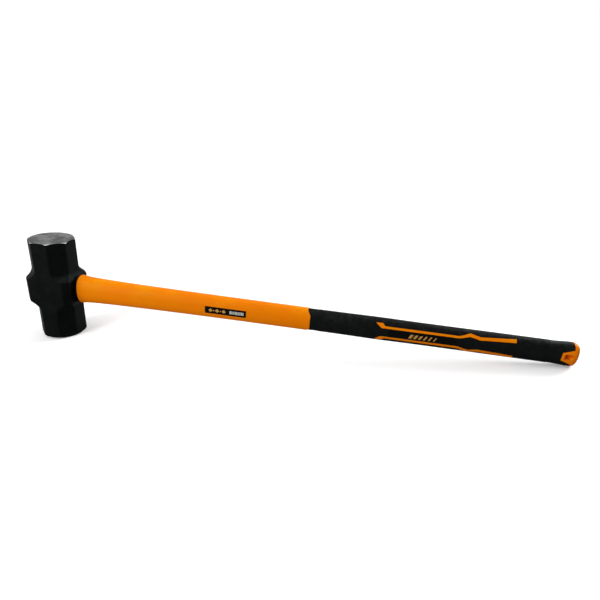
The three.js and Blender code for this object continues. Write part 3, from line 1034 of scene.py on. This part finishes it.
def slanted_bar(x, width):
    """Outline of a badge bar that leans towards the butt. Its width is measured along X."""
    low, high = BADGE_BAR_Z
    lean = (high - low) * BAR_LEAN
    outline = []
    for along in sorted((0, width, lean, width + lean)):
        top = low + min(along, lean) / BAR_LEAN
        bottom = low + max(along - width, 0) / BAR_LEAN
        outline.append((x + along, min(bottom, top - POINT), top))
    return outline


def marks(name, outlines, side, surface, wall, slot, ink):
    """Raised marks, made one by one and joined into one piece."""
    pieces = [laid_on(name, outline, side, surface, wall, step=(3, 1)) for outline in outlines]
    pick(*pieces)
    bpy.ops.object.join()
    set_in_place(new_piece(name), slot, materials=[ink], smooth=30)


def grip_inlays():
    """Two orange strips and a badge plate with its marks, on each side of the grip."""
    surface = form(*INLAY_FORM, grip_half)
    for place, side in (("front", FRONT), ("rear", REAR)):
        for height, outline in (("upper", UPPER_INLAY), ("lower", mirrored(UPPER_INLAY))):
            inlay = laid_on(f"inlay_{place}_{height}", outline, side, surface, INLAY_WALL, edge=0.2)
            set_in_place(inlay, "orange_plastic", f"grip_inlay_{place}_{height}", materials=[ORANGE])
        badge = laid_on(f"badge_{place}", BADGE, side, surface, BADGE_WALL, edge=0.2)
        set_in_place(badge, "badge_plastic", f"grip_badge_{place}", materials=[BADGE_PLASTIC])
        bars = [slanted_bar(*bar) for bar in BADGE_BARS]
        name = f"badge_marks_{place}"
        marks(name, bars, side, surface, BADGE_MARK_WALL, "badge_plastic", GOLD_INK)
    remove(surface)


def label():
    """Film in its shallow pocket on the front of the jacket, with printed marks."""
    surface = form(*LABEL_FORM, jacket_half)
    film = laid_on("label_film_front", LABEL, FRONT, surface, LABEL_WALL, edge=0.06)
    set_in_place(film, "label_film", "label_front", materials=[FILM])
    marks("label_grey_print", LABEL_GREY, FRONT, surface, LABEL_MARK_WALL, "label_film", GREY_INK)
    marks("label_gold_print", LABEL_GOLD, FRONT, surface, LABEL_MARK_WALL, "label_film", GOLD_INK)
    remove(surface)


# ---- camera, floor and light ----

CAMERA_FROM_EYE = (0.5031, -0.6336, 0.2775)
CAMERA_AZIMUTH = 7.93
CAMERA_ELEVATION = 23.62
CAMERA_LENS = 26.44


def stand_camera():
    """Camera ahead of the hammer, above it and towards its butt."""
    place = EYE + Vector(CAMERA_FROM_EYE)
    turn = (math.radians(90 - CAMERA_ELEVATION), 0, math.radians(CAMERA_AZIMUTH))
    bpy.ops.object.camera_add(location=place, rotation=turn)
    camera = bpy.context.object
    camera.data.lens = CAMERA_LENS
    camera.data.clip_start = 0.01
    bpy.context.scene.camera = camera


def studio_world():
    """White all round for the camera. As light it is dim, and dimmest from the front right."""
    world = bpy.data.worlds.new("studio")
    world.use_nodes = True
    tree = world.node_tree
    background = tree.nodes["Background"]
    where = add(tree, "ShaderNodeTexCoord").outputs["Generated"]
    across = add(tree, "ShaderNodeVectorMath", {0: where, 1: (-0.7, 0.7, 0)}, operation="DOT_PRODUCT")
    up = add(tree, "ShaderNodeSeparateXYZ", {"Vector": where}).outputs["Z"]
    around = band(tree, across.outputs["Value"], -0.8, 0.7, 0.03, 0.48)
    overhead = band(tree, up, 0.1, 0.9, 0.0, 0.22)
    seen = add(tree, "ShaderNodeLightPath").outputs["Is Camera Ray"]
    strength = maths(tree, "MAXIMUM", maths(tree, "ADD", around, overhead), seen)
    tree.links.new(strength, background.inputs["Strength"])
    background.inputs["Color"].default_value = rgb(1, 1, 1)
    bpy.context.scene.world = world


def studio_floor():
    """Pale floor that runs into the white behind it and throws little light back up."""
    bpy.ops.mesh.primitive_circle_add(vertices=96, radius=60, fill_type="NGON")
    floor = new_piece("studio_floor")
    material = bpy.data.materials.new("pale_floor")
    material.use_nodes = True
    tree = material.node_tree
    shader = tree.nodes["Principled BSDF"]
    shader.inputs["Specular IOR Level"].default_value = 0
    seen = add(tree, "ShaderNodeLightPath").outputs["Is Camera Ray"]
    colour = mixed(tree, seen, rgb(0.33, 0.33, 0.33), rgb(0.95, 0.95, 0.95))
    where = add(tree, "ShaderNodeTexCoord").outputs["Object"]
    away = add(tree, "ShaderNodeVectorMath", {0: where}, operation="LENGTH").outputs["Value"]
    glow = product(tree, seen, band(tree, away, 0.5, 3.0, 0.12, 1.0))
    light = mixed(tree, glow, rgb(0, 0, 0), rgb(1, 1, 1))
    give(tree, shader, Base_Color=colour, Roughness=1.0, Emission_Color=light, Emission_Strength=1.0)
    floor.data.materials.append(material)


def studio_lights():
    """Soft light from above, from the front left and from behind on the right."""
    low, high = CAD_BOX
    middle = (Vector(low) + Vector(high)) / 2
    for name, offset, size, power in (
        ("overhead_softbox", (-0.1, -0.2, 1.8), 1.8, 12),
        ("front_softbox", (-1.5, -1.5, 0.8), 1.2, 38),
        ("rear_softbox", (1.6, 1.1, 0.7), 1.0, 50),
    ):
        bpy.ops.object.light_add(type="AREA", location=middle + Vector(offset))
        light = bpy.context.object
        light.name = name
        light.data.size = size
        light.data.energy = power
        light.rotation_euler = (-Vector(offset)).to_track_quat("-Z", "Y").to_euler()


# ---- build ----

bpy.context.scene.view_settings.view_transform = "Standard"
stand_camera()
studio_world()
studio_floor()
studio_lights()
head()
eye_potting()
core()
collar()
jacket()
grip()
butt_cap()
grip_inlays()
label()
